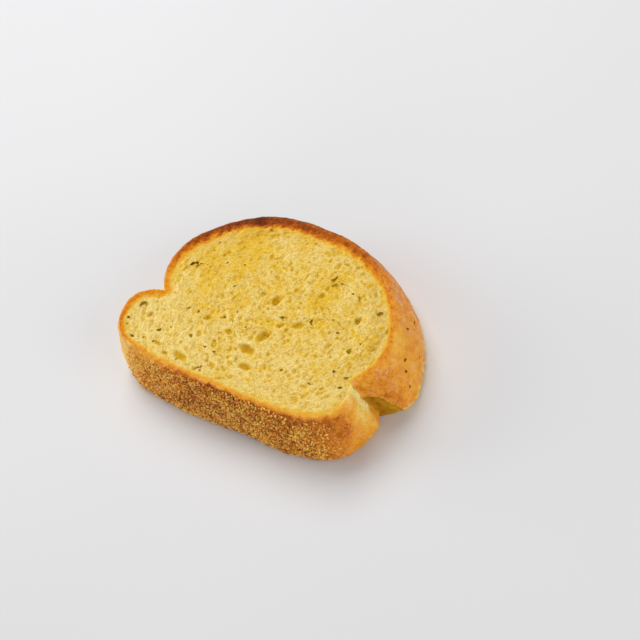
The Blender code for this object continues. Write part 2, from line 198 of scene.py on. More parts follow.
def foam_at(x, y, size, seed, around=ENDLESS):
    """A foam of cells of about the given size, that meets itself after so many along X: how thick a wall each
    point stands in, and its cell's number."""
    across = np.stack([x, y], axis=-1) / size
    cell = np.floor(across).astype(np.int64)
    first = np.full(np.shape(x), np.inf)
    second = np.full(np.shape(x), np.inf)
    number = np.zeros(np.shape(x))
    for step in ((i, j) for i in (-1, 0, 1) for j in (-1, 0, 1)):
        key = cell + np.array(step)
        name = np.stack([key[..., 0] % around, key[..., 1]], axis=-1)
        chance = np.stack([scramble(name, seed), scramble(name, seed + 1)], axis=-1)
        middle = key + 0.5 + LOOSE * (chance - 0.5)
        gap = np.hypot(*np.moveaxis(across - middle, -1, 0))
        closer = gap < first
        second = np.where(closer, first, np.minimum(second, gap))
        number = np.where(closer, scramble(name, seed + 2), number)
        first = np.where(closer, gap, first)
    return second - first, number


# ---- outline
def lobe_holds(lobe, flare, x, y):
    """Says which of the points lie inside a lobe grown by the flare (left, right, up, down)."""
    turn = math.radians(lobe["tilt"])
    dx = x - lobe["x"]
    dy = y - lobe["y"]
    along = math.cos(turn) * dx + math.sin(turn) * dy
    across = math.cos(turn) * dy - math.sin(turn) * dx
    reach_x = np.where(along < 0, lobe["left"] + flare[0], lobe["right"] + flare[1])
    reach_y = np.where(across > 0, lobe["up"] + flare[2], lobe["down"] + flare[3])
    power_up = np.where(along < 0, lobe["power_left"], lobe["power_right"])
    power = np.where(across < 0, lobe["power_down"], power_up)
    return (np.abs(along) / reach_x) ** power + (np.abs(across) / reach_y) ** power < 1


def angles_from(angles, middle):
    """Angles counted from the middle one, up to half a turn either way."""
    return np.remainder(angles - middle + math.pi, 2 * math.pi) - math.pi


def along_from_seam(seam, angles, reach):
    """How far along the crust a place is from a seam: above 0 on the dome's side."""
    x, y = seam["place"]
    return angles_from(angles, math.atan2(y - HUB[1], x - HUB[0])) * reach * math.copysign(1, x)


def along_from_tear(seam, angles, reach, open_out):
    """The same from the tear itself, which leans to the dome's side on its way to the underside."""
    return along_from_seam(seam, angles, reach) - seam["lean"] * open_out


def seam_groove(seam, angles, reach, open_out):
    """Depth of a torn seam; open_out goes from 0 at the upper face to 1 at the underside."""
    def between(ends):
        return ends[0] + (ends[1] - ends[0]) * open_out
    off = along_from_tear(seam, angles, reach, open_out)
    width = np.where(off > 0, between(seam["to_dome"]), between(seam["to_loaf"]))
    return between(seam["depth"]) * bell(off, width)


def uneven_reach(angles, open_out):
    """How far the crust stands out beyond the even lobes."""
    total = np.zeros_like(angles)
    for degrees, span, above, below in UNEVEN:
        off = angles_from(angles, math.radians(degrees))
        total += (above + (below - above) * open_out) * MM * bell(off, math.radians(span))
    return total


def outline_reach(angles, share):
    """How far the smooth crust is from the hub along each angle, at a share of the thickness."""
    swell = BULGE * 4 * share * (1 - share)
    open_out = 1 - share
    left = FLARE_LEFT * open_out + swell
    right = FLARE_RIGHT * open_out + swell
    dome_flare = (left, right, FLARE_DOME * open_out + swell, FLARE_OVERHANG * open_out)
    loaf_flare = (left * LOAF_FLARE_SHARE, right * LOAF_FLARE_SHARE, 0.0, FLARE_BASE * open_out + swell)
    near = np.zeros_like(angles)
    far = np.full_like(angles, OUTSIDE)
    for _ in range(HALVINGS):
        middle = (near + far) / 2
        x = HUB[0] + middle * np.cos(angles)
        y = HUB[1] + middle * np.sin(angles)
        inside = lobe_holds(DOME, dome_flare, x, y) | lobe_holds(LOAF, loaf_flare, x, y)
        near = np.where(inside, middle, near)
        far = np.where(inside, far, middle)
    near = near + uneven_reach(angles, open_out)
    return near - sum(seam_groove(seam, angles, near, open_out) for seam in SEAMS)


def even_angles(step):
    """Angles round the hub that step evenly along the crust."""
    fine = np.linspace(-math.pi, math.pi, 8 * 360 + 1)
    reach = outline_reach(fine, 0.5)
    steps = np.hypot(np.diff(reach * np.cos(fine)), np.diff(reach * np.sin(fine)))
    run = np.concatenate(([0.0], np.cumsum(steps)))
    count = round(run[-1] / step)
    return np.interp(np.arange(count) * run[-1] / count, run, fine)


def wall_profile():
    """Rows down the wall, evenly spaced: each one's way from the upper face, height, inset and tilt."""
    above = EDGE_ABOVE * math.pi / 2
    below = EDGE_BELOW * math.pi / 2
    upright = THICKNESS - EDGE_ABOVE - EDGE_BELOW
    run = np.linspace(0, above + upright + below, round((above + upright + below) / ROW_STEP) + 1)
    turn_above = np.clip(run / EDGE_ABOVE, 0, math.pi / 2)
    turn_below = np.clip((run - above - upright) / EDGE_BELOW, 0, math.pi / 2)
    flat_part = np.clip(run - above, 0, upright)
    height = THICKNESS - EDGE_ABOVE * (1 - np.cos(turn_above)) - flat_part - EDGE_BELOW * np.sin(turn_below)
    inset = EDGE_ABOVE * (1 - np.sin(turn_above)) + EDGE_BELOW * (1 - np.cos(turn_below))
    tilt = math.pi / 2 - turn_above - turn_below
    return run, height, inset, tilt


class Wall:
    """The crust: a grid of rows (down from the upper face) and columns (round the hub)."""

    def __init__(self):
        self.angles = even_angles(COLUMN_STEP)
        self.run, self.height, self.inset, self.tilt = wall_profile()
        rows, columns = len(self.run), len(self.angles)
        reach = np.stack([outline_reach(self.angles, h / THICKNESS) for h in self.height])
        self.reach = reach - self.inset[:, None]
        x = HUB[0] + self.reach * np.cos(self.angles)
        y = HUB[1] + self.reach * np.sin(self.angles)
        self.shift = np.array([(x.min() + x.max()) / 2, (y.min() + y.max()) / 2])
        z = np.repeat(self.height[:, None], columns, axis=1)
        self.places = np.stack([x - self.shift[0], y - self.shift[1], z], axis=2)
        self.normals = self.smooth_normals()
        # The same as a list of points, with the hub angle of each, and its way in mm: down from the upper
        # face, up from the underside, and along past the right seam's tear.
        self.points = self.places.reshape(-1, 3)
        self.degrees = np.tile(np.degrees(self.angles), rows)
        self.down = np.repeat(self.run, columns) / MM
        self.up = self.run[-1] / MM - self.down
        self.on_base = ease(-self.points[:, 1], 20 * MM, 30 * MM)
        open_out = 1 - self.height[:, None] / THICKNESS
        self.past_tear = along_from_tear(RIGHT_SEAM, self.angles, self.reach, open_out).ravel() / MM

    def smooth_normals(self):
        """Outward normals of the smooth crust, tilted up at the upper edge and down at the lower one."""
        ahead = np.roll(self.places, -1, axis=1) - np.roll(self.places, 1, axis=1)
        outward = np.stack([ahead[:, :, 1], -ahead[:, :, 0]], axis=2)
        outward /= np.linalg.norm(outward, axis=2, keepdims=True)
        level = np.cos(self.tilt)[:, None, None] * outward
        up = np.broadcast_to(np.sin(self.tilt)[:, None, None], level.shape[:2] + (1,))
        return np.concatenate([level, up], axis=2)

    def ring(self, row):
        return self.places[row, :, :2]

    def from_hub(self, points):
        """Angle and distance of points from the hub."""
        off = points + self.shift - HUB
        return np.arctan2(off[:, 1], off[:, 0]), np.hypot(*off.T)

    def ring_holds(self, row, points):
        """Says which of the points lie inside a row's ring."""
        angle, far = self.from_hub(points)
        return far < np.interp(angle, self.angles, self.reach[row], period=2 * math.pi)

    def face_margin(self, row, points):
        """How far points lie inside a row's ring; negative outside."""
        ring = self.ring(row)
        ahead = np.roll(ring, -1, axis=0) - ring
        fine = np.concatenate([ring + ahead * share for share in (0, 0.25, 0.5, 0.75)])
        tree = kdtree.KDTree(len(fine))
        for index, (x, y) in enumerate(fine):
            tree.insert((x, y, 0), index)
        tree.balance()
        gaps = np.array([tree.find((x, y, 0))[2] for x, y in points])
        return np.where(self.ring_holds(row, points), gaps, -gaps)


# ---- the crumb, as maps over a cut face
# Foams of the crumb: size of the cells and depth of the deepest (mm), extra butter in those, and seed.
FOAMS = ((5.5, 0.0, 0.50, 31), (2.4, 0.55, 0.38, 11), (1.3, 0.36, 0.28, 21))
FOAM_ROUND = 23 * MM               # from the crumb's middle; a foam's cells are as long as wide there
# Scattered pores: shortest, longest, and depth as a share of the width.
FINE_PORES = (0.7 * MM, 1.7 * MM, (0.20, 0.45))
MEDIUM_PORES = (1.6 * MM, 3.8 * MM, (0.16, 0.30))
PORE_WIDER = 1.35                  # a large pore's bowl is this much wider than its opening shows,
PORE_DEEPER = 1.15                 # and this much deeper
# Unevenness of a cut face: length and height (mm), seed and octaves.
FACE_WAVES = ((28, 0.40, 1, 1), (5.5, 0.16, 4, 1), (2.3, 0.13, 2, 2), (0.7, 0.055, 3, 2))
HOLLOW_UNIT = 0.30 * MM            # so deep a cavity has a hollow of 1
WARP = 0.45 * MM                   # how far a bowl's outline is drawn out of shape,
WARP_LENGTH = 2.4 * MM             # over this length


class CrumbMap:
    """A cut face over a grid: its height (lift), its pores' depth (dent), how hollow and how soaked it is."""

    def __init__(self, seed, large, medium, fine):
        self.columns = int(2 * MAP_HALF[0] / MAP_STEP)
        self.rows = int(2 * MAP_HALF[1] / MAP_STEP)
        self.draw = np.random.default_rng(seed)
        self.x, self.y = np.meshgrid(
            (np.arange(self.columns) + 0.5) * MAP_STEP - MAP_HALF[0],
            (np.arange(self.rows) + 0.5) * MAP_STEP - MAP_HALF[1])
        self.warp_x = self.x + WARP * flat_noise(self.x, self.y, WARP_LENGTH, seed + 7, 2)
        self.warp_y = self.y + WARP * flat_noise(self.x, self.y, WARP_LENGTH, seed + 8, 2)
        self.dent = np.zeros((self.rows, self.columns))
        self.soak = np.zeros((self.rows, self.columns))
        for size, depth, wet, own in FOAMS:
            self.open_foam(size * MM, depth * MM, wet, seed + own)
        self.open_pores(fine, *FINE_PORES)
        self.open_pores(medium, *MEDIUM_PORES)
        for x, y, length, width, depth, angle in large:
            self.carve(x * MM, y * MM, PORE_WIDER * length * MM, PORE_WIDER * width * MM,
                       PORE_DEEPER * depth * MM, math.radians(angle), 0.8, 2.0)
        self.lift = sum(flat_noise(self.x, self.y, length * MM, seed + own, octaves) * height * MM
                        for length, height, own, octaves in FACE_WAVES) - self.dent
        # How far the crumb lies below its surroundings; the material makes it darker and richer there, partly
        # as butter pooled in the hollows and partly as painted shade.
        cavity = self.cavity(5) + 0.5 * self.cavity(2) + 0.30 * self.dent - 0.05 * MM
        self.hollow = cavity / HOLLOW_UNIT

    def flow(self, x, y):
        """The pores' long direction: round the crumb's middle, so along the crust nearby."""
        return math.atan2(x - SWIRL[0], SWIRL[1] - y) + self.draw.normal(0, 0.45)

    def open_foam(self, size, depth, wet, seed):
        """Sinks the cells of a foam, each to its own depth, and leaves thin walls between them; the deeper a
        cell, the more butter stands in it."""
        sway = 0.5 * size
        sway_x = sway * flat_noise(self.x, self.y, 3 * size, seed + 5)
        sway_y = sway * flat_noise(self.x, self.y, 3 * size, seed + 6)
        dx, dy = self.x - SWIRL[0], self.y - SWIRL[1]
        far = np.hypot(dx, dy) + sway_y
        around = round(2 * math.pi * FOAM_ROUND / size)
        turn = np.arctan2(dx, dy) / (2 * math.pi) * around * size + sway_x
        wall, number = np.where(far > STILL, foam_at(turn, far, size, seed, around),
                                foam_at(dx + sway_x, dy + sway_y, size, seed + 9))
        patchy = 0.35 + 0.65 * ease(flat_noise(self.x, self.y, 9 * MM, seed + 4, 2), -0.6, 0.6)
        self.dent = self.dent + depth * patchy * number ** 3 * ease(wall, 0.02, 0.55)
        self.soak = self.soak + wet * (number - 0.5) * ease(wall, 0.0, 0.40)

    def open_pores(self, count, shortest, longest, depth_share):
        """Scatters small bowls, most of them near the shortest."""
        for _ in range(count):
            x = self.draw.uniform(-MAP_HALF[0], MAP_HALF[0])
            y = self.draw.uniform(-MAP_HALF[1], MAP_HALF[1])
            length = shortest + (longest - shortest) * self.draw.random() ** 2
            width = length * self.draw.uniform(0.45, 0.85)
            depth = width * self.draw.uniform(*depth_share)
            self.carve(x, y, length, width, depth, self.flow(x, y), 0.0, 1.2)

    def carve(self, x, y, length, width, depth, angle, smoothing, power):
        """Sinks one bowl into the map; smoothing takes away that share of the pores already in it, and a
        lower power makes its sides steeper."""
        reach = int((length / 2 + 2 * WARP) / MAP_STEP) + 1
        column = int((x + MAP_HALF[0]) / MAP_STEP)
        row = int((y + MAP_HALF[1]) / MAP_STEP)
        window = (slice(max(row - reach, 0), max(row + reach + 1, 0)),
                  slice(max(column - reach, 0), max(column + reach + 1, 0)))
        dx = self.warp_x[window] - x
        dy = self.warp_y[window] - y
        along = (math.cos(angle) * dx + math.sin(angle) * dy) / (length / 2)
        across = (math.cos(angle) * dy - math.sin(angle) * dx) / (width / 2)
        out = along ** 2 + across ** 2
        bowl = depth * np.clip(1 - out, 0, 1) ** power
        inside = np.clip(1.15 - out, 0, 1) * smoothing
        self.dent[window] = np.maximum(self.dent[window] * (1 - inside), bowl)
        self.soak[window] += 0.45 * smoothing * np.clip(1.1 - out, 0, 1)

    def cavity(self, cells):
        """How far the map lies below its own average over a few cells each way."""
        average = self.lift
        for _ in range(2):
            for axis in (0, 1):
                shifted = [np.roll(average, step, axis=axis) for step in range(-cells, cells + 1)]
                average = sum(shifted) / len(shifted)
        return average - self.lift

    def sample(self, grid, x, y):
        """One of the maps at any place."""
        column = np.clip((x + MAP_HALF[0]) / MAP_STEP - 0.5, 0, self.columns - 2)
        row = np.clip((y + MAP_HALF[1]) / MAP_STEP - 0.5, 0, self.rows - 2)
        return blend(grid, row, column)


# ---- baking tones round the slice
# Hub angle in degrees, how browned the wall is (0 pale, 1 black), how browned the cut's rim is, how far in
# from the edge that rim reaches, in mm, and how sharply it ends there (1 is evenly faded).
TONES = (
    (-180, 0.32, 0.45, 4.3, 2.2), (-168, 0.21, 0.54, 2.6, 1.4), (-157, 0.13, 0.5, 1.9, 1.2),
    (-148, 0.17, 0.39, 2.2, 1.0), (-138, 0.33, 0.36, 2.0, 1.0), (-125, 0.56, 0.36, 2.0, 1.0),
    (-90, 0.71, 0.36, 2.0, 1.0), (-45, 0.59, 0.36, 2.0, 1.0), (-32, 0.52, 0.34, 2.2, 1.0),
    (-22, 0.48, 0.3, 2.2, 1.0), (-13, 0.4, 0.16, 2.0, 1.0), (-9, 0.3, 0.05, 1.0, 1.0),
    (-6, 0.26, 0.05, 0.9, 1.0), (-2, 0.42, 0.36, 1.4, 1.0), (3, 0.41, 0.43, 2.0, 1.1),
    (12, 0.36, 0.45, 1.8, 1.1), (30, 0.38, 0.46, 2.0, 1.2), (45, 0.43, 0.5, 2.8, 1.5),
    (60, 0.54, 0.6, 3.8, 1.9), (80, 0.68, 0.64, 4.8, 2.6), (98, 0.74, 0.68, 5.2, 3.0),
    (108, 0.78, 0.7, 5.2, 3.0), (115, 0.84, 0.74, 5.2, 3.0), (119, 0.91, 0.85, 5.4, 3.0),
    (123, 0.87, 0.77, 5.2, 3.0), (132, 0.82, 0.72, 5.2, 2.8), (142, 0.76, 0.71, 5.4, 2.2),
    (150, 0.64, 0.69, 5.9, 1.6), (158, 0.54, 0.6, 5.0, 1.5), (168, 0.4, 0.44, 3.0, 1.8),
    (173, 0.33, 0.42, 4.4, 2.4),
)

# Marks of the oven on the wall: hub angle (degrees), way down from the upper face, radius (mm), and how
# much browner the crust is there. The paler one at 20 degrees is no oven mark but a painted sheen.
MARKS = (
    (3, 13.4, 1.4, 0.13), (4.5, 18.7, 1.5, 0.14), (5, 15, 6.0, 0.05), (20, 3.5, 5.0, -0.1),
    (42, 5.0, 7.0, 0.06), (-19.5, 9.5, 6.5, 0.13), (-8, 12.0, 5.0, -0.14), (-5, 20.0, 4.0, -0.06),
    (-21, 19.0, 5.0, -0.04),
)

# The lower edge of the dome's crust over the right seam's tear: way along from the seam and height (mm).
LIP = (
    (-0.3, 23.0), (0.0, 20.5), (1.1, 17.0), (2.3, 15.2), (3.5, 14.6), (5.0, 12.9), (6.1, 9.4), (6.8, 7.2),
    (7.5, 4.4), (8.5, 1.5), (9.5, -2.0),
)

# Richer patches of soaked butter: x, y, radius (mm) and strength.
BUTTER = (
    (-28, 25, 8, 0.24), (-35, 8, 9, 0.2), (-20, 10, 10, 0.2), (17, 12, 7, 0.32), (23, 6, 6, 0.3),
    (21, 20, 4, 0.25), (-13, -3, 5, 0.25), (-30, -14, 7, 0.2), (8, -12, 5, 0.2), (42, -1, 9, 0.14),
    (-50, -20, 12, -0.3), (-30, -32, 10, -0.12), (-8, -2, 6, -0.15), (3, 27, 7, -0.2), (27, 22, 6, -0.15),
    (45, 12, 9, -0.15),
)


# Columns of TONES.
WALL_TONE, RIM_TONE, RIM_REACH, RIM_POWER = range(1, 5)


def tone(column, degrees):
    """One column of TONES at hub angles."""
    table = np.array(TONES)
    return np.interp(degrees, table[:, 0], table[:, column], period=360)


def butter_at(x, y, seed):
    """How much butter has soaked in: more towards the dome, in patches."""
    level = 0.22 + 0.20 * ease(y, -26 * MM, 6 * MM)
    for px, py, radius, strength in BUTTER:
        level = level + strength * bell(np.hypot(x - px * MM, y - py * MM), radius * MM)
    return level + 0.22 * flat_noise(x, y, 6 * MM, seed, 2)


def find_tears(wall):
    """Gives the wall these, from 0 to 1 at each point: where torn crumb shows instead of baked crust, where
    that is the pale strip on the loaf's side, where it is open, where the crust ends in a paler lip, and
    where the right seam's cleft is."""
    ragged = 1.3 * cloud_at(wall.points, 2.2 * MM, 71, 4)
    z = wall.points[:, 2] / MM
    angles = np.radians(wall.degrees)
    right, left = (along_from_seam(seam, angles, wall.reach.ravel()) / MM for seam in SEAMS)
    past = wall.past_tear
    under_lip = np.interp(right, *np.transpose(LIP)) - z + ragged
    near_right = right < 12
    torn = ease(under_lip, -0.3, 0.3) * (past > -0.3) * near_right
    strip = np.interp(z, (7, 11, 17, THICKNESS / MM), (1.6, 3.2, 4.2, 2.8))
    pale = ease(strip + right + 0.8 * ragged, -1.2, 1.2) * (past <= 0) * ease(z + ragged, 7, 16)
    left_tear = ease(15 * (1 - left / 8) - z + ragged, -0.35, 0.35) * (left > 0) * (left < 12)
    left_strip = ease(2.6 * ease(z, 7, 13) + left + 0.5 * ragged, 0.0, 0.8) * (left <= 0)
    wall.pale = np.maximum(pale, left_strip)
    wall.torn = np.maximum(np.maximum(torn, left_tear), wall.pale)
    wall.open = wall.torn - wall.pale
    wall.lip_edge = bell(under_lip + 0.8, 0.6) * (past > 0) * near_right
    wall.cleft = bell(past - 0.5, 0.8) * ease(wall.down, 0.5, 3)


def marks_at(wall):
    """How much browner the marks make the wall, paler where negative; one of those is a painted sheen."""
    total = np.zeros(len(wall.points))
    for degrees, down, radius, strength in MARKS:
        off = np.radians(wall.degrees - degrees) * wall.reach.ravel() / MM
        total += strength * bell(np.hypot(off, wall.down - down), radius)
    return total


# ---- meshes
def new_mesh(name, points, faces):
    mesh = bpy.data.meshes.new(name)
    mesh.from_pydata(points.tolist(), [], faces.tolist())
    return mesh


def add_value(mesh, name, values):
    """One number for each vertex, which the material reads by name."""
    mesh.attributes.new(name, "FLOAT", "POINT").data.foreach_set("value", np.asarray(values, np.float32))


def put(name, data):
    """A new object in the scene."""
    made = bpy.data.objects.new(name, data)
    bpy.context.scene.collection.objects.link(made)
    return made


# ---- the bread's skin
def hex_points(step, half_x, half_y):
    """An even field of points over a rectangle, each row set off by half a step."""
    row_step = step * math.sqrt(3) / 2
    rows = np.arange(-half_y, half_y, row_step)
    columns = np.arange(-half_x, half_x, step)
    x = columns[None, :] + (np.arange(len(rows)) % 2)[:, None] * step / 2
    y = np.broadcast_to(rows[:, None], x.shape)
    return np.stack([x.ravel(), y.ravel()], axis=1)


def halves(*corners):
    """Two triangles for each four-sided face, given as four arrays of its corners in turn."""
    a, b, c, d = (np.ravel(corner) for corner in corners)
    return np.concatenate([np.column_stack([a, b, c]), np.column_stack([a, c, d])])


JITTER = 0.16                      # of a step, the most that a cut face's points are moved by
CLEAR = 0.55                       # of a step, kept between them and the ring


class CutFace:
    """Points inside a ring of the wall, and triangles that close it, which count the ring's points first."""

    def __init__(self, wall, row, height, crumb, step, seed):
        field = hex_points(step, *MAP_HALF)
        field = field + np.random.default_rng(seed).uniform(-JITTER, JITTER, field.shape) * step
        field = field[wall.ring_holds(row, field)]
        margin = wall.face_margin(row, field)
        keep = margin > CLEAR * step
        self.points = field[keep]
        self.margin = margin[keep] / MM
        self.level = np.column_stack([self.points, np.full(len(self.points), height)])
        self.degrees = np.degrees(wall.from_hub(self.points)[0])
        self.crumb = crumb
        ring = wall.ring(row)
        corners = [Vector(p) for p in np.concatenate([ring, self.points])]
        made = delaunay_2d_cdt(corners, [], [list(range(len(ring)))], 1, 1e-9)
        source = np.array([s[0] for s in made[3]])
        self.triangles = source[np.array(made[2])]

    def read(self, grid):
        """One of the crumb's maps at the points."""
        return self.crumb.sample(grid, *self.points.T)

    def lifted(self, lift):
        return self.level + lift[:, None] * (0, 0, 1)


def wall_skin(wall):
    """The wall's points with their relief."""
    waves = rough(wall.points, 17, 0.45, 11, 2)
    blisters = rough(wall.points, 4.5, 0.20, 12, 2) + rough(wall.points, 1.4, 0.06, 13, 2)
    caked_meal = wall.on_base * rough(wall.points, 1.5, 0.20, 14, 2)
    tear = wall.torn * (rough(wall.points, 2.0, 0.50, 15, 4) - 0.35 * MM)
    tear -= (0.8 * wall.open + 0.9 * wall.cleft) * MM
    jags = np.maximum(rough(wall.points, 1.5, 0.7, 37, 2), 0)
    jags *= plateau(wall.up, (0, 2), (4.5, 6.5)) * plateau(wall.degrees, (0, 5), (34, 48))
    edge = rough(wall.points, 1.7, 0.12, 16, 2) + jags
    fade = ease(np.minimum(wall.down, wall.up), 0, 1.5)
    relief = (waves + blisters + caked_meal + tear) * fade + edge
    skin = wall.points + wall.normals.reshape(-1, 3) * relief[:, None]
    skin[:, 2] = np.where(wall.up < 1e-9, 0.0, np.maximum(skin[:, 2], 0.0))
    return skin


def upper_lift(top):
    """Height of the upper crumb over the wall's edge."""
    lift = top.read(top.crumb.lift) * ease(top.margin, 0.3, 1.6)
    lift -= CRUMB_SINK * ease(top.margin, 0, 4)
    return lift + rough(top.level, 1.6, 0.10, 16, 2) * ease(-top.margin, -3, 0)


def join_faces(wall, top, low):
    """Triangles of the wall's grid, of the upper face and of the underside."""
    index = np.arange(len(wall.points)).reshape(wall.reach.shape)
    after = np.roll(index, -1, axis=1)
    sides = halves(index[:-1], index[1:], after[1:], after[:-1])
    first_low = len(wall.points) + len(top.points)
    top_index = np.concatenate([index[0], np.arange(len(wall.points), first_low)])
    low_index = np.concatenate([index[-1], first_low + np.arange(len(low.points))])
    return sides, top_index[top.triangles], low_index[low.triangles][:, ::-1]


def baked_tone(wall):
    """How browned the wall is: by TONES, with marks and with an edge that follows the cut's rim."""
    bake = tone(WALL_TONE, wall.degrees) + 0.05 * cloud_at(wall.points, 7 * MM, 31, 3) + marks_at(wall)
    bake += 0.10 * wall.on_base * bell(wall.down - 2.6, 1.6)
    soft = 2.4 + 4.0 * bell(wall.degrees + 10, 7)
    edge = 1 - ease((wall.down + cloud_at(wall.points, 2.2 * MM, 36, 3)) / soft, 0, 1)
    bake += (tone(RIM_TONE, wall.degrees) - bake) * edge
    ragged = 3.9 + 1.5 * cloud_at(wall.points, 1.8 * MM, 35, 2)
    fringe = (1 - ease(wall.up - ragged, 0.4, 1.0)) * plateau(wall.degrees, (1, 6), (34, 46))
    return bake * (1 - fringe) + 0.10 * fringe - 0.20 * wall.lip_edge


def skin_values(wall, top, low):
    """What the material reads from the mesh: values of the wall, the upper face and the underside."""
    crust = (1 - wall.torn) * ease(wall.down, 0, 0.6) * ease(wall.up, 0.6, 1.8)
    # Painted shade: a darker zone of crumb about 5 mm inside the right rim, added to the shade and hollow
    # values.
    shaded = bell(np.hypot((top.margin - 4.8) / 3.2, (top.degrees - 24) / 26), 1)
    shaded *= 1 + 0.6 * cloud_at(top.level, 2.0 * MM, 38, 3)
    # Painted shade in the open tear under the dome's lip and in the right seam's cleft; the pale strip of
    # torn crumb is paler crumb with a painted highlight on it.
    painted_shade_and_pale = np.maximum(wall.open * (0.9 - 0.6 * ease(wall.past_tear, 1, 6)), wall.cleft)
    hollow = 1.1 * wall.torn * cloud_at(wall.points, 2.0 * MM, 17, 4) - 0.6 * wall.pale
    hollow += 1.5 * wall.cleft + 1.35 * wall.open
    return {
        "crust": (crust, 0.0, 0.0),
        "bake": (baked_tone(wall), tone(WALL_TONE, top.degrees), tone(WALL_TONE, low.degrees)),
        "rim_tone": (tone(RIM_TONE, wall.degrees) * (1 - wall.torn), tone(RIM_TONE, top.degrees), 0.34),
        "rim_way": (0.0, top.margin / tone(RIM_REACH, top.degrees), low.margin / 2.5),
        "rim_power": (tone(RIM_POWER, wall.degrees), tone(RIM_POWER, top.degrees), 1.5),
        "painted_shade_and_pale": (np.where(painted_shade_and_pale > 0.02, painted_shade_and_pale, -wall.pale), 0.30 * shaded, 0.0),
        "hollow": (hollow, top.read(top.crumb.hollow) + 0.55 * shaded, low.read(low.crumb.hollow)),
        "butter": (0.80 - 0.60 * wall.pale, butter_at(*top.points.T, 33) + top.read(top.crumb.soak),
                   0.6 * butter_at(*low.points.T, 34) + low.read(low.crumb.soak)),
    }


def make_bread(wall, above, below):
    """One closed mesh: the wall's grid and the two cut faces."""
    find_tears(wall)
    skin = wall_skin(wall)
    top = CutFace(wall, 0, THICKNESS, above, FACE_STEP, SEED)
    low = CutFace(wall, len(wall.run) - 1, 0.0, below, UNDER_STEP, SEED + 1)
    low_lift = low.read(below.dent) * ease(low.margin, 0.5, 2.5)
    vertices = np.concatenate([skin, top.lifted(upper_lift(top)), low.lifted(low_lift)])
    parts = join_faces(wall, top, low)
    bread = put("bread_slice", new_mesh("bread_slice", vertices, np.concatenate(parts)))
    bread.data.shade_smooth()
    counts = (len(skin), len(top.points), len(low.points))
    for name, values in skin_values(wall, top, low).items():
        add_value(bread.data, name, np.concatenate([np.broadcast_to(v, n) for v, n in zip(values, counts)]))
    unwrap(bread.data, wall, vertices, *parts)
    return bread, skin.reshape(wall.places.shape)


# ---- the map that the textures are laid out by
SHEET = 204 * MM                   # its side
SHEET_GAP = 2 * MM
FACE_ROOM = (129.2 * MM, 94.4 * MM)    # for each cut face


def unwrap(mesh, wall, vertices, sides, top_faces, low_faces):
    """Lays the faces flat without overlap: two cut faces, and the wall in two upright strips beside them."""
    columns = len(wall.angles)
    side_count = len(sides)
    corners = vertices[np.concatenate([sides, top_faces, low_faces])]
    u = corners[:, :, 0] + FACE_ROOM[0] / 2 + SHEET_GAP
    v = corners[:, :, 1] + FACE_ROOM[1] / 2 + SHEET_GAP
    v[side_count + len(top_faces):] += FACE_ROOM[1] + SHEET_GAP
    row, column = sides // columns, sides % columns
    wraps = (column.max(axis=1) - column.min(axis=1)) > columns / 2
    column = np.where(wraps[:, None] & (column == 0), columns, column)
    half = columns // 2
    second = (column.min(axis=1) >= half)[:, None]
    local = column - np.where(second, half, 0)
    v[:side_count] = local / (columns - half) * (SHEET - 2 * SHEET_GAP) + SHEET_GAP
    strip_wide = wall.run[-1]
    start = FACE_ROOM[0] + 2 * SHEET_GAP + np.where(second, strip_wide + SHEET_GAP, 0)
    u[:side_count] = start + wall.run[row]
    layer = mesh.uv_layers.new(name="OFBake")
    layer.data.foreach_set("uv", np.stack([u, v], axis=2).ravel() / SHEET)


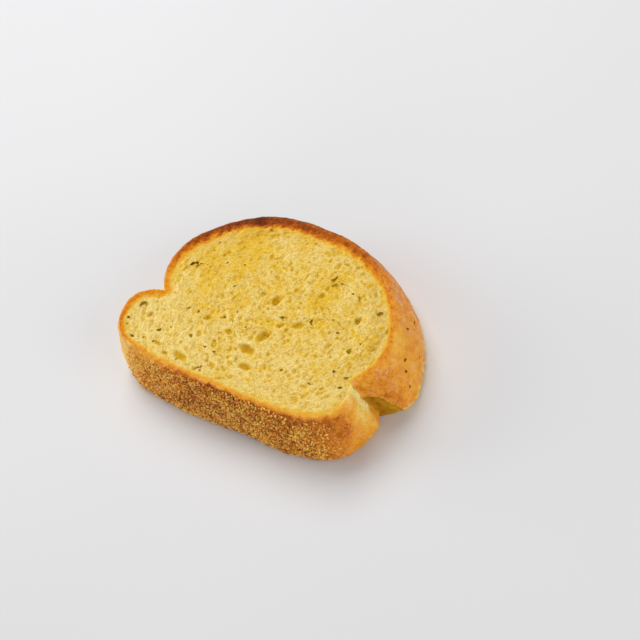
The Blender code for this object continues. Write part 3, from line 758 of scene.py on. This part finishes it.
# ---- materials
class Nodes:
    """A short way to write a node tree."""

    def __init__(self, name):
        self.material = bpy.data.materials.new(name)
        self.material.use_nodes = True
        self.tree = self.material.node_tree
        self.shader = self.tree.nodes["Principled BSDF"]

    def set(self, node, name, value):
        socket = node.inputs[name]
        if isinstance(value, bpy.types.NodeSocket):
            self.tree.links.new(value, socket)
        else:
            socket.default_value = value

    def surface(self, **values):
        """Values or nodes for the shader's own sockets; a name's _ stands for a space."""
        for name, value in values.items():
            self.set(self.shader, name.replace("_", " "), value)

    def make(self, kind, sockets, output=0, **settings):
        """One output of a new node of that kind, with what goes into its sockets and its settings."""
        node = self.tree.nodes.new("ShaderNode" + kind)
        for name, value in settings.items():
            setattr(node, name, value)
        for name, value in sockets.items():
            self.set(node, name, value)
        return node.outputs[output]

    def value(self, name):
        return self.make("Attribute", {}, "Fac", attribute_name=name)

    def place(self):
        return self.make("TexCoord", {}, "Object")

    def vector(self, operation, a, b, output="Vector"):
        second = "Scale" if operation == "SCALE" else 1
        return self.make("VectorMath", {0: a, second: b}, output, operation=operation)

    def round_middle(self):
        """Where a point is, with its way round the crumb's middle made short, which draws a noise out."""
        off = self.vector("SUBTRACT", self.place(), (SWIRL[0], SWIRL[1], 0.0))
        level = self.vector("MULTIPLY", off, (1.0, 1.0, 0.0))
        height = self.make("SeparateXYZ", {0: off}, "Z")
        far = self.math("MAXIMUM", self.vector("LENGTH", level, (0.0, 0.0, 0.0), "Value"), STILL)
        lift = self.make("CombineXYZ", {"Z": self.add(-STILL, (far, 1.0), (height, 1.0))})
        ring = self.vector("SCALE", level, self.math("POWER", self.math("DIVIDE", STILL, far), 0.45))
        return self.vector("ADD", ring, lift)

    def noise(self, size, detail=2.0, roughness=0.5, distortion=0.0, where=None):
        return self.make("TexNoise", {"Vector": where or self.place(), "Scale": 1 / size, "Detail": detail,
                                      "Roughness": roughness, "Distortion": distortion}, "Fac")

    def swing(self, *look):
        """A noise as what it is above or below its middle."""
        return self.math("SUBTRACT", self.noise(*look), 0.5)

    def math(self, operation, a, b=0.0, clamp=False):
        return self.make("Math", {0: a, 1: b}, operation=operation, use_clamp=clamp)

    def times(self, a, b, clamp=False):
        return self.math("MULTIPLY", a, b, clamp)

    def add(self, total, *terms):
        """A number plus some (value, weight) terms."""
        for value, weight in terms:
            total = self.math("ADD", total, self.times(value, weight))
        return total

    def span(self, value, low, high, to_low=0.0, to_high=1.0):
        """A value's way from low to high, eased, as one from to_low to to_high."""
        return self.make("MapRange", {"Value": value, "From Min": low, "From Max": high, "To Min": to_low,
                                      "To Max": to_high}, interpolation_type="SMOOTHSTEP")

    def ramp(self, value, *stops):
        """Colours at places from 0 to 1, each of three numbers up to 255 or four linear ones."""
        colours = self.make("ValToRGB", {"Fac": value}, "Color")
        points = colours.node.color_ramp.elements
        while len(points) < len(stops):
            points.new(1.0)
        for point, (position, *colour) in zip(points, stops):
            point.position = position
            point.color = srgb(*colour) if len(colour) == 3 else colour
        return colours

    def mix(self, share, a, b, blend="MIX"):
        """A mix of colours; 6, 7 and 2 are their sockets on the node."""
        return self.make("Mix", {0: share, 6: a, 7: b}, 2, data_type="RGBA", blend_type=blend)

    def bump(self, height, distance, strength=1.0):
        return self.make("Bump", {"Height": height, "Distance": distance, "Strength": strength}, "Normal")


def grey(value):
    return (value, value, value, 1.0)


def bread_material():
    """Buttered crumb, its browned rim and the baked crust, told apart by the mesh's own values."""
    n = Nodes("buttered_crumb")
    swirl = n.round_middle()
    grain = n.swing(0.45 * MM, 1.0)
    fleck = n.swing(0.85 * MM, 2.0, 0.6, 0.4, swirl)
    tuft = n.swing(1.6 * MM, 2.0, 0.6, 0.5, swirl)
    patch = n.swing(5.0 * MM, 4.0, 0.6, 0.3)
    strand = n.span(n.math("ABSOLUTE", n.swing(1.6 * MM, 1.0, 0.5, 0.8, swirl)), 0.0, 0.04, 1.0, 0.0)
    mottle = n.swing(2.6 * MM, 4.0, 0.65)
    speckle = n.swing(0.7 * MM, 2.0)
    way = n.add(0.0, (n.value("rim_way"), 1.0), (patch, 0.6), (tuft, 0.8), (fleck, 0.4))
    hollow = n.span(n.value("hollow"), -1.2, 2.0)
    crumb = crumb_colour(n, hollow, way, swirl, grain, fleck, tuft, patch, strand)
    rim, rim_colour = browned_rim(n, way, mottle, speckle)
    toasty = n.times(n.span(n.value("rim_tone"), 0.55, 0.80), n.span(way, 0.9, 3.0, 1.0, 0.0))
    colour = n.mix(n.span(rim, 0.03, 0.26), crumb, rim_colour)
    colour = n.mix(toasty, colour, srgb(246, 238, 226), "MULTIPLY")
    bake = n.add(0.0, (n.value("bake"), 1.0), (mottle, 0.50), (speckle, 0.45))
    crust = n.ramp(bake, (0.0, 252, 220, 128), (0.20, 248, 186, 64), (0.40, 238, 155, 44),
                   (0.58, 201, 110, 18), (0.72, 148, 76, 10), (0.86, 98, 46, 8), (1.0, 50, 26, 8))
    gloss = n.times(n.value("crust"), n.span(n.noise(3.4 * MM, 3.0, 0.6, 0.3), 0.50, 0.62))
    gloss = n.times(gloss, n.span(n.value("bake"), 0.42, 0.66, 1.0, 0.0))
    dull = n.span(n.noise(1.6 * MM, 3.0), 0.3, 0.7, 0.46, 0.66)
    wrinkle = n.noise(1.1 * MM, 3.0, 0.6)
    n.surface(Base_Color=n.mix(n.value("crust"), colour, crust),
              Roughness=n.add(dull, (gloss, -0.24)),
              Specular_IOR_Level=n.add(0.07, (n.value("crust"), 0.08), (gloss, 0.50)),
              Subsurface_Weight=0.18, Subsurface_Radius=(1.0, 0.55, 0.18), Subsurface_Scale=0.9 * MM,
              Normal=n.bump(n.add(0.0, (grain, 0.8), (wrinkle, 0.8)), 0.22 * MM, 0.8))
    return n.material


def crumb_colour(n, hollow, way, swirl, grain, fleck, tuft, patch, strand):
    """Pale where the crumb is dry and rich where butter stands in it; darker and richer in its hollows, as
    butter pooled there and as painted shade; painted shade in the tear and inside the right rim, a painted
    highlight on the pale strip of torn crumb, darker fine pits, and painted fine shade and highlight over
    all.
    """
    # The hollow value makes the crumb darker and richer: partly butter pooled in its hollows, partly painted
    # shade there and in the tear.
    dry = n.add(0.57, (patch, 0.60), (tuft, 0.49), (fleck, 0.64), (grain, 0.42), (strand, 0.14),
                (hollow, -0.36), (n.value("butter"), -0.06))
    warm = n.times(n.value("rim_tone"), n.span(way, 0.6, 1.7, 0.35, 0.0))
    butter = n.add(-0.10, (n.value("butter"), 0.9), (patch, 1.6), (tuft, 1.2), (fleck, 0.5), (warm, 0.7),
                   (hollow, 0.56))
    pale = n.ramp(dry, (0.0, 194, 150, 46), (0.25, 215, 177, 78), (0.5, 236, 206, 118),
                  (0.75, 247, 223, 150), (1.0, 255, 243, 198))
    rich = n.ramp(dry, (0.0, 194, 142, 14), (0.25, 213, 165, 30), (0.5, 230, 186, 54),
                  (0.75, 241, 202, 80), (1.0, 252, 223, 118))
    crumb = n.mix(n.span(butter, 0.05, 0.95), pale, rich)
    # Painted shade towards dark brown in the tear, its cleft and inside the right rim; then the pale strip of
    # torn crumb made paler still, partly its own colour and partly a painted highlight.
    crumb = n.mix(n.times(n.value("painted_shade_and_pale"), 0.50, True), crumb, srgb(156, 86, 10))
    crumb = n.mix(n.times(n.value("painted_shade_and_pale"), -0.46, True), crumb, srgb(255, 232, 146))
    pit = n.span(n.noise(1.15 * MM, 2.0, 0.6, 0.3, swirl), 0.63, 0.74, 0.0, 0.5)
    crumb = n.mix(pit, crumb, srgb(184, 130, 18))
    # Painted fine shade and highlight: a grey multiplier that stands in for the light and shade of the
    # crumb's fine relief.
    fine_shading = n.add(0.5, (grain, 1.0), (n.swing(0.6 * MM, 2.0), 1.0))
    shade = n.ramp(fine_shading, (0.2, *grey(0.86)), (0.5, *grey(1.0)), (0.8, *grey(1.12)))
    return n.mix(1.0, crumb, shade, "MULTIPLY")


def browned_rim(n, way, mottle, speckle):
    """How browned the cut's rim is, and its colour."""
    inward = n.math("SUBTRACT", 1.0, n.math("POWER", n.math("MAXIMUM", way, 0.0), n.value("rim_power")))
    even = n.times(n.value("rim_tone"), n.math("MAXIMUM", inward, 0.0))
    spots = n.add(0.0, (speckle, 0.5), (mottle, 1.0))
    rim = n.add(0.0, (even, 1.0), (n.times(spots, n.span(even, 0.0, 0.3)), 0.48))
    return rim, n.ramp(rim, (0.04, 236, 200, 86), (0.22, 234, 180, 58), (0.40, 230, 152, 28),
                       (0.54, 204, 112, 12), (0.68, 152, 72, 10), (0.82, 104, 44, 8), (1.0, 54, 26, 8))


def meal_material():
    """Toasted meal: each grain has its own tone."""
    n = Nodes("toasted_meal")
    shade = n.add(0.0, (n.value("tone"), 1.0), (n.swing(0.3 * MM), 0.25))
    n.surface(Base_Color=n.ramp(shade, (0.0, 112, 58, 8), (0.35, 190, 107, 24),
                                (0.7, 246, 162, 44), (1.0, 255, 216, 104)),
              Roughness=n.span(n.noise(0.4 * MM), 0.3, 0.7, 0.35, 0.55), Specular_IOR_Level=0.25,
              Normal=n.bump(n.noise(0.2 * MM, 3.0), 0.05 * MM, 0.5))
    return n.material


def herb_material():
    """Dried leaf, from olive to nearly black, soaked in butter."""
    n = Nodes("dried_herb")
    shade = n.add(0.0, (n.value("tone"), 1.0), (n.swing(0.5 * MM, 3.0), 0.6))
    n.surface(Base_Color=n.ramp(shade, (0.0, 86, 54, 2), (0.45, 140, 102, 8), (1.0, 186, 150, 34)),
              Roughness=n.span(n.noise(0.6 * MM), 0.3, 0.7, 0.50, 0.70), Specular_IOR_Level=0.0,
              Normal=n.bump(n.noise(0.3 * MM, 3.0), 0.08 * MM, 0.6))
    return n.material


# ---- loose meal on the bottom crust
GRAINS = 9900
GRAIN_SMALLEST = 0.50 * MM
GRAIN_SPREAD = 0.62 * MM           # from the smallest to the largest
TRIES = 8                          # places drawn for each grain, as most fall off the bottom crust


def icosahedron():
    """Its 12 corners, 1 from the middle, and its 20 faces, each seen from outside."""
    golden = (1 + math.sqrt(5)) / 2
    points = []
    for a in (-1, 1):
        for b in (-golden, golden):
            points += [(a, b, 0), (0, a, b), (b, 0, a)]
    points = np.array(points, float)
    points /= np.linalg.norm(points[0])
    faces = []
    edge_and_more = 1.06
    gaps = np.linalg.norm(points[:, None] - points[None, :], axis=2)
    for i, j, k in itertools.combinations(range(len(points)), 3):
        if max(gaps[i, j], gaps[j, k], gaps[i, k]) < edge_and_more:
            turn = np.dot(np.cross(points[j] - points[i], points[k] - points[i]), points[i])
            faces.append((i, j, k) if turn > 0 else (i, k, j))
    return points, np.array(faces)


def random_turns(draw, count):
    """Evenly random rotation matrices, from quaternions."""
    q = draw.normal(size=(count, 4))
    q /= np.linalg.norm(q, axis=1, keepdims=True)
    turn, axis = q[:, :1, None], q[:, None, 1:]
    across = axis * axis.transpose(0, 2, 1) + turn * np.cross(np.eye(3), axis)
    return (2 * turn ** 2 - 1) * np.eye(3) + 2 * across


# Corners of a cell's two triangles on the map that the textures are laid out by.
LOWER_HALF = ((0.08, 0.08), (0.80, 0.08), (0.08, 0.80))
UPPER_HALF = ((0.92, 0.92), (0.20, 0.92), (0.92, 0.20))


def add_pieces(name, points, faces, tones, material):
    """A mesh of many small closed pieces, each with one tone."""
    mesh = new_mesh(name, points, faces)
    add_value(mesh, "tone", tones)
    number = np.arange(len(faces))[:, None, None]
    side = math.ceil(math.sqrt((len(faces) + 1) // 2))
    cell = np.concatenate([number // 2 % side, number // 2 // side], axis=2)
    corner = np.where(number % 2, UPPER_HALF, LOWER_HALF)
    mesh.uv_layers.new(name="OFBake").data.foreach_set("uv", ((cell + corner) / side).ravel())
    mesh.materials.append(material)
    return put(name, mesh)


def make_meal(wall, skin):
    """Meal from the baking tin, stuck all over the bottom crust and thinning out at its two ends."""
    draw = np.random.default_rng(SEED + 5)
    wanted = GRAINS * TRIES
    rows, columns = wall.reach.shape
    row = draw.uniform(0.8, rows - 3.5, wanted)     # not quite to the edges
    column = draw.uniform(0, columns, wanted)
    degrees = np.interp(column, np.arange(columns), np.degrees(wall.angles))
    place = blend(skin, row, column, columns)
    chance = plateau(degrees, (-157, -138), (-32, -19))
    chance *= 0.78 + 0.34 * np.clip(cloud_at(place, 5 * MM, 51, 2), -1, 1)
    chance *= ease(row * ROW_STEP + rough(place, 2.4, 0.9, 53, 2), 1.5 * MM, 3.8 * MM)
    chosen = np.flatnonzero(draw.random(wanted) < chance)[:GRAINS]
    count = len(chosen)
    place, row, column = place[chosen], row[chosen], column[chosen]
    normal = wall.normals[np.round(row).astype(int), np.round(column).astype(int) % columns]
    size = (GRAIN_SMALLEST + GRAIN_SPREAD * draw.random(count) ** 1.4)[:, None, None] / 2
    ball, ball_faces = icosahedron()
    shape = ball[None] * (1 + draw.uniform(-0.22, 0.22, (count, len(ball), 1)))
    shape = shape * draw.uniform(0.62, 1.15, (count, 1, 3)) * size
    shape = np.einsum("nij,nkj->nki", random_turns(draw, count), shape)
    points = place[:, None] + shape + normal[:, None] * size * draw.uniform(0.0, 0.5, (count, 1, 1))
    points[:, :, 2] = np.maximum(points[:, :, 2], 0.02 * MM)
    faces = ball_faces[None] + len(ball) * np.arange(count)[:, None, None]
    tones = draw.normal(0.63, 0.42, count) + 0.24 * cloud_at(place, 5 * MM, 52, 3)
    tones = np.clip(np.maximum(tones, 0.75 - 0.75 * chance[chosen]), 0, 1)
    return points.reshape(-1, 3), faces.reshape(-1, 3), np.repeat(tones, len(ball))


# ---- flakes of herb
# Those that show from a step away: x, y, length, width (mm), turn (degrees) and tone (0 dark, 1 olive).
FLAKES = (
    (-46.0, 5.3, 2.4, 1.0, 50, 0.1), (-44.4, 6.4, 2.3, 0.9, 15, 0.25), (-43.0, 5.2, 1.8, 1.0, 70, 0.8),
    (-42.0, 6.6, 1.3, 0.6, 20, 0.6), (-55.0, -19.5, 3.4, 1.1, 55, 0.55), (-57.0, -27.6, 1.5, 1.1, 0, 0.25),
    (-49.8, -34.5, 3.6, 1.0, 5, 0.45), (-39.2, -27.7, 2.0, 0.9, 35, 0.25),
    (-11.6, -36.2, 1.9, 0.8, 50, 0.6), (-9.8, -36.8, 1.8, 0.7, -10, 0.75),
    (-10.4, -35.2, 1.3, 0.5, 80, 0.5), (21.2, -0.4, 2.4, 0.8, -60, 0.35), (42.7, -5.7, 2.6, 1.7, -80, 0.6),
    (45.7, 13.0, 2.4, 1.0, 50, 0.6), (18.9, 20.6, 3.2, 0.8, 60, 0.45), (20.4, 18.0, 2.6, 1.0, 50, 0.85),
    (23.1, 19.6, 1.4, 0.8, 0, 0.6), (49.0, -16.6, 1.8, 1.1, 20, 0.6), (33.9, 16.5, 2.2, 0.8, -20, 0.6),
    (8.9, -3.1, 1.6, 0.9, 30, 0.5), (-27.7, -13.9, 1.4, 0.6, 80, 0.45), (-14.9, -12.1, 1.3, 0.8, 20, 0.4),
    (-23.7, -24.8, 1.8, 1.0, -20, 0.6), (-14.5, -26.8, 1.4, 0.6, 10, 0.45),
    (-9.4, -27.3, 1.3, 0.6, 20, 0.4), (36.7, -24.4, 1.4, 0.7, 0, 0.6), (49.2, -21.2, 1.6, 0.7, 40, 0.4),
    (30.1, 17.1, 1.3, 0.6, 0, 0.5), (39.4, 6.6, 2.6, 1.4, -40, 0.8), (34.3, -0.6, 1.4, 0.9, 10, 0.55),
    (-33.0, -14.0, 1.6, 0.6, 60, 0.65),
)
SPECKS = 60
# Flecks on the dome's crust: hub angle (degrees), height and length (mm).
WALL_FLECKS = ((16, 17, 2.0), (13, 14.5, 1.7), (10, 9.5, 1.3), (28, 18, 1.6), (34, 12, 1.2), (22, 8, 1.0))
LEAF_THICK = 0.07 * MM             # half of it
LEAF_STAND = 0.04 * MM             # a leaf's middle over the crumb, with a share of its width on top


def leaf(length, width, draw):
    """A thin, curled and uneven flake lying in the plane z = 0, with both its faces and its edge."""
    across, along = 4, 7
    u, v = np.meshgrid(np.linspace(-1, 1, along), np.linspace(-1, 1, across))
    taper = np.sqrt(np.clip(1 - (u * 0.94) ** 2, 0.05, 1)) * (1 + 0.42 * draw.uniform(-1, 1, u.shape))
    x = u * length / 2 + draw.uniform(-0.06, 0.06, u.shape) * length / 2
    bend = draw.uniform(-0.25, 0.25)
    y = v * width / 2 * taper + bend * length * (u ** 2 - 0.4)
    curl = draw.uniform(0.05, 0.30) * width
    lean = draw.uniform(-0.05, 0.05) * length
    z = curl * v ** 2 + lean * u + 0.05 * width * draw.uniform(-1, 1, u.shape)
    upper, lower = (np.stack([x, y, z + off], axis=2).reshape(-1, 3) for off in (LEAF_THICK, -LEAF_THICK))
    index = np.arange(across * along).reshape(across, along)
    sheet = halves(index[:-1, :-1], index[:-1, 1:], index[1:, 1:], index[1:, :-1])
    edge = np.concatenate([index[0], index[1:, -1], index[-1, -2::-1], index[-2:0:-1, 0]])
    ahead = np.roll(edge, -1)
    below = across * along
    rim = halves(edge, edge + below, ahead + below, ahead)
    return np.concatenate([upper, lower]), np.concatenate([sheet, sheet[:, ::-1] + below, rim])


def make_herbs(wall, skin, above):
    """The flakes and specks on the upper face, and the few on the dome's right side."""
    draw = np.random.default_rng(SEED + 9)
    points, faces, tones = [], [], []

    def add(leaf_parts, turn, place, value):
        shape, triangles = leaf_parts
        faces.append(triangles + sum(len(part) for part in points))
        points.append(shape @ np.array(turn).T + place)
        tones.append(np.full(len(shape), value))

    wanted = [(x * MM, y * MM, length * MM, width * MM, math.radians(turn), value)
              for x, y, length, width, turn, value in FLAKES]
    spots = draw.uniform(-1, 1, (SPECKS * 3, 2)) * np.array(MAP_HALF) * 0.97
    spots = spots[wall.face_margin(0, spots) > 1.5 * MM][:SPECKS]
    for x, y in spots:
        length = (0.35 + 0.9 * draw.random() ** 2) * MM
        width = length * draw.uniform(0.35, 0.7)
        wanted.append((x, y, length, width, draw.uniform(0, math.pi), draw.uniform(0.2, 0.9)))
    for x, y, length, width, turn, value in wanted:
        shape = leaf(length, width, draw)
        lift = above.sample(above.lift, np.array([x]), np.array([y]))[0]
        height = THICKNESS - CRUMB_SINK + lift + LEAF_STAND + 0.07 * width
        lean = Matrix.Rotation(turn, 3, "Z") @ Matrix.Rotation(draw.normal(0, 0.18), 3, "X")
        add(shape, lean, np.array([x, y, height]), value)
    for degrees, height, length in WALL_FLECKS:
        column = np.interp(degrees, np.degrees(wall.angles), np.arange(len(wall.angles)))
        row = np.interp(-height * MM, -wall.height, np.arange(len(wall.height)))
        place = blend(skin, np.array([row]), np.array([column]), len(wall.angles))[0]
        normal = Vector(wall.normals[round(row), round(column)])
        stand = normal.to_track_quat("Z", "X").to_matrix() @ Matrix.Rotation(draw.uniform(0, math.pi), 3, "Z")
        shape = leaf(length * MM, length * 0.45 * MM, draw)
        add(shape, stand, place + np.array(normal) * 0.06 * MM, draw.uniform(0.1, 0.4))
    return np.concatenate(points), np.concatenate(faces), np.concatenate(tones)


# ---- floor, light and camera
AZIMUTH = math.radians(58)
ELEVATION = math.radians(50)
ROLL = math.radians(-30)
DISTANCE = 515.99 * MM
AIM = (25.65 * MM, 4.85 * MM)      # on the upper face, from the outline's own origin
LENS = 75                          # mm, as is the sensor's width
SENSOR = 36
FLOOR_HALF = 1.6
FLOOR_DROP = 0.02 * MM             # keeps it clear of the underside
# Square lamps that shine on the slice: name, the way they stand in, and watts.
LAMPS = (("window", (-0.36, 0.40, 0.84), 10.9), ("side", (0.92, 0.05, 0.36), 6.0),
         ("left", (-0.90, -0.28, 0.30), 6.8), ("front", (0.30, -0.90, 0.22), 2.2))
LAMP_DISTANCE = 1.3
LAMP_SIZE = 0.8
SKY = 0.28                         # strength of the even light from all round


def make_floor():
    corners = np.array([(-1, -1, 0), (1, -1, 0), (1, 1, 0), (-1, 1, 0)]) * FLOOR_HALF
    mesh = new_mesh("floor", corners, np.array([(0, 1, 2, 3)]))
    floor = put("floor", mesh)
    floor.location.z = -FLOOR_DROP
    n = Nodes("pale_floor")
    n.surface(Base_Color=n.ramp(n.noise(220 * MM, 1.0), (0.3, 0.745, 0.745, 0.755, 1.0),
                                (0.7, 0.765, 0.765, 0.775, 1.0)),
              Roughness=0.6, Specular_IOR_Level=0.2)
    mesh.materials.append(n.material)


def make_light():
    world = bpy.data.worlds.new("studio")
    world.use_nodes = True
    background = world.node_tree.nodes["Background"]
    background.inputs["Color"].default_value = grey(1.0)
    background.inputs["Strength"].default_value = SKY
    bpy.context.scene.world = world
    for name, way, power in LAMPS:
        data = bpy.data.lights.new(name, "AREA")
        data.size = LAMP_SIZE
        data.energy = power
        lamp = put(name, data)
        lamp.location = Vector(way).normalized() * LAMP_DISTANCE
        lamp.rotation_euler = Vector(way).to_track_quat("Z", "Y").to_euler()
    bpy.context.scene.view_settings.view_transform = "Standard"


def make_camera(shift):
    data = bpy.data.cameras.new("camera")
    data.lens = LENS
    data.sensor_width = SENSOR
    camera = put("camera", data)
    back = Vector((math.sin(AZIMUTH) * math.cos(ELEVATION), -math.cos(AZIMUTH) * math.cos(ELEVATION),
                   math.sin(ELEVATION)))
    aim = Vector((AIM[0] - shift[0], AIM[1] - shift[1], THICKNESS))
    turned = back.to_track_quat("Z", "Y").to_matrix() @ Matrix.Rotation(ROLL, 3, "Z")
    camera.matrix_world = Matrix.Translation(aim + back * DISTANCE) @ turned.to_4x4()
    bpy.context.scene.camera = camera


# ---- putting it together
def place(piece, slot):
    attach(piece, "root")


def main():
    wall = Wall()
    above = CrumbMap(SEED, large=PORES, medium=420, fine=3500)
    below = CrumbMap(SEED + 3, large=(), medium=300, fine=2500)
    bread, skin = make_bread(wall, above, below)
    bread.data.materials.append(bread_material())
    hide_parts("garlic_bread")
    place(bread, "buttered_crumb")
    meal = add_pieces("crust_meal", *make_meal(wall, skin), meal_material())
    place(meal, "baked_crust")
    herbs = add_pieces("herb_flakes", *make_herbs(wall, skin, above), herb_material())
    herbs.data.shade_smooth()
    place(herbs, "dried_herb")
    make_floor()
    make_light()
    make_camera(wall.shift)


main()
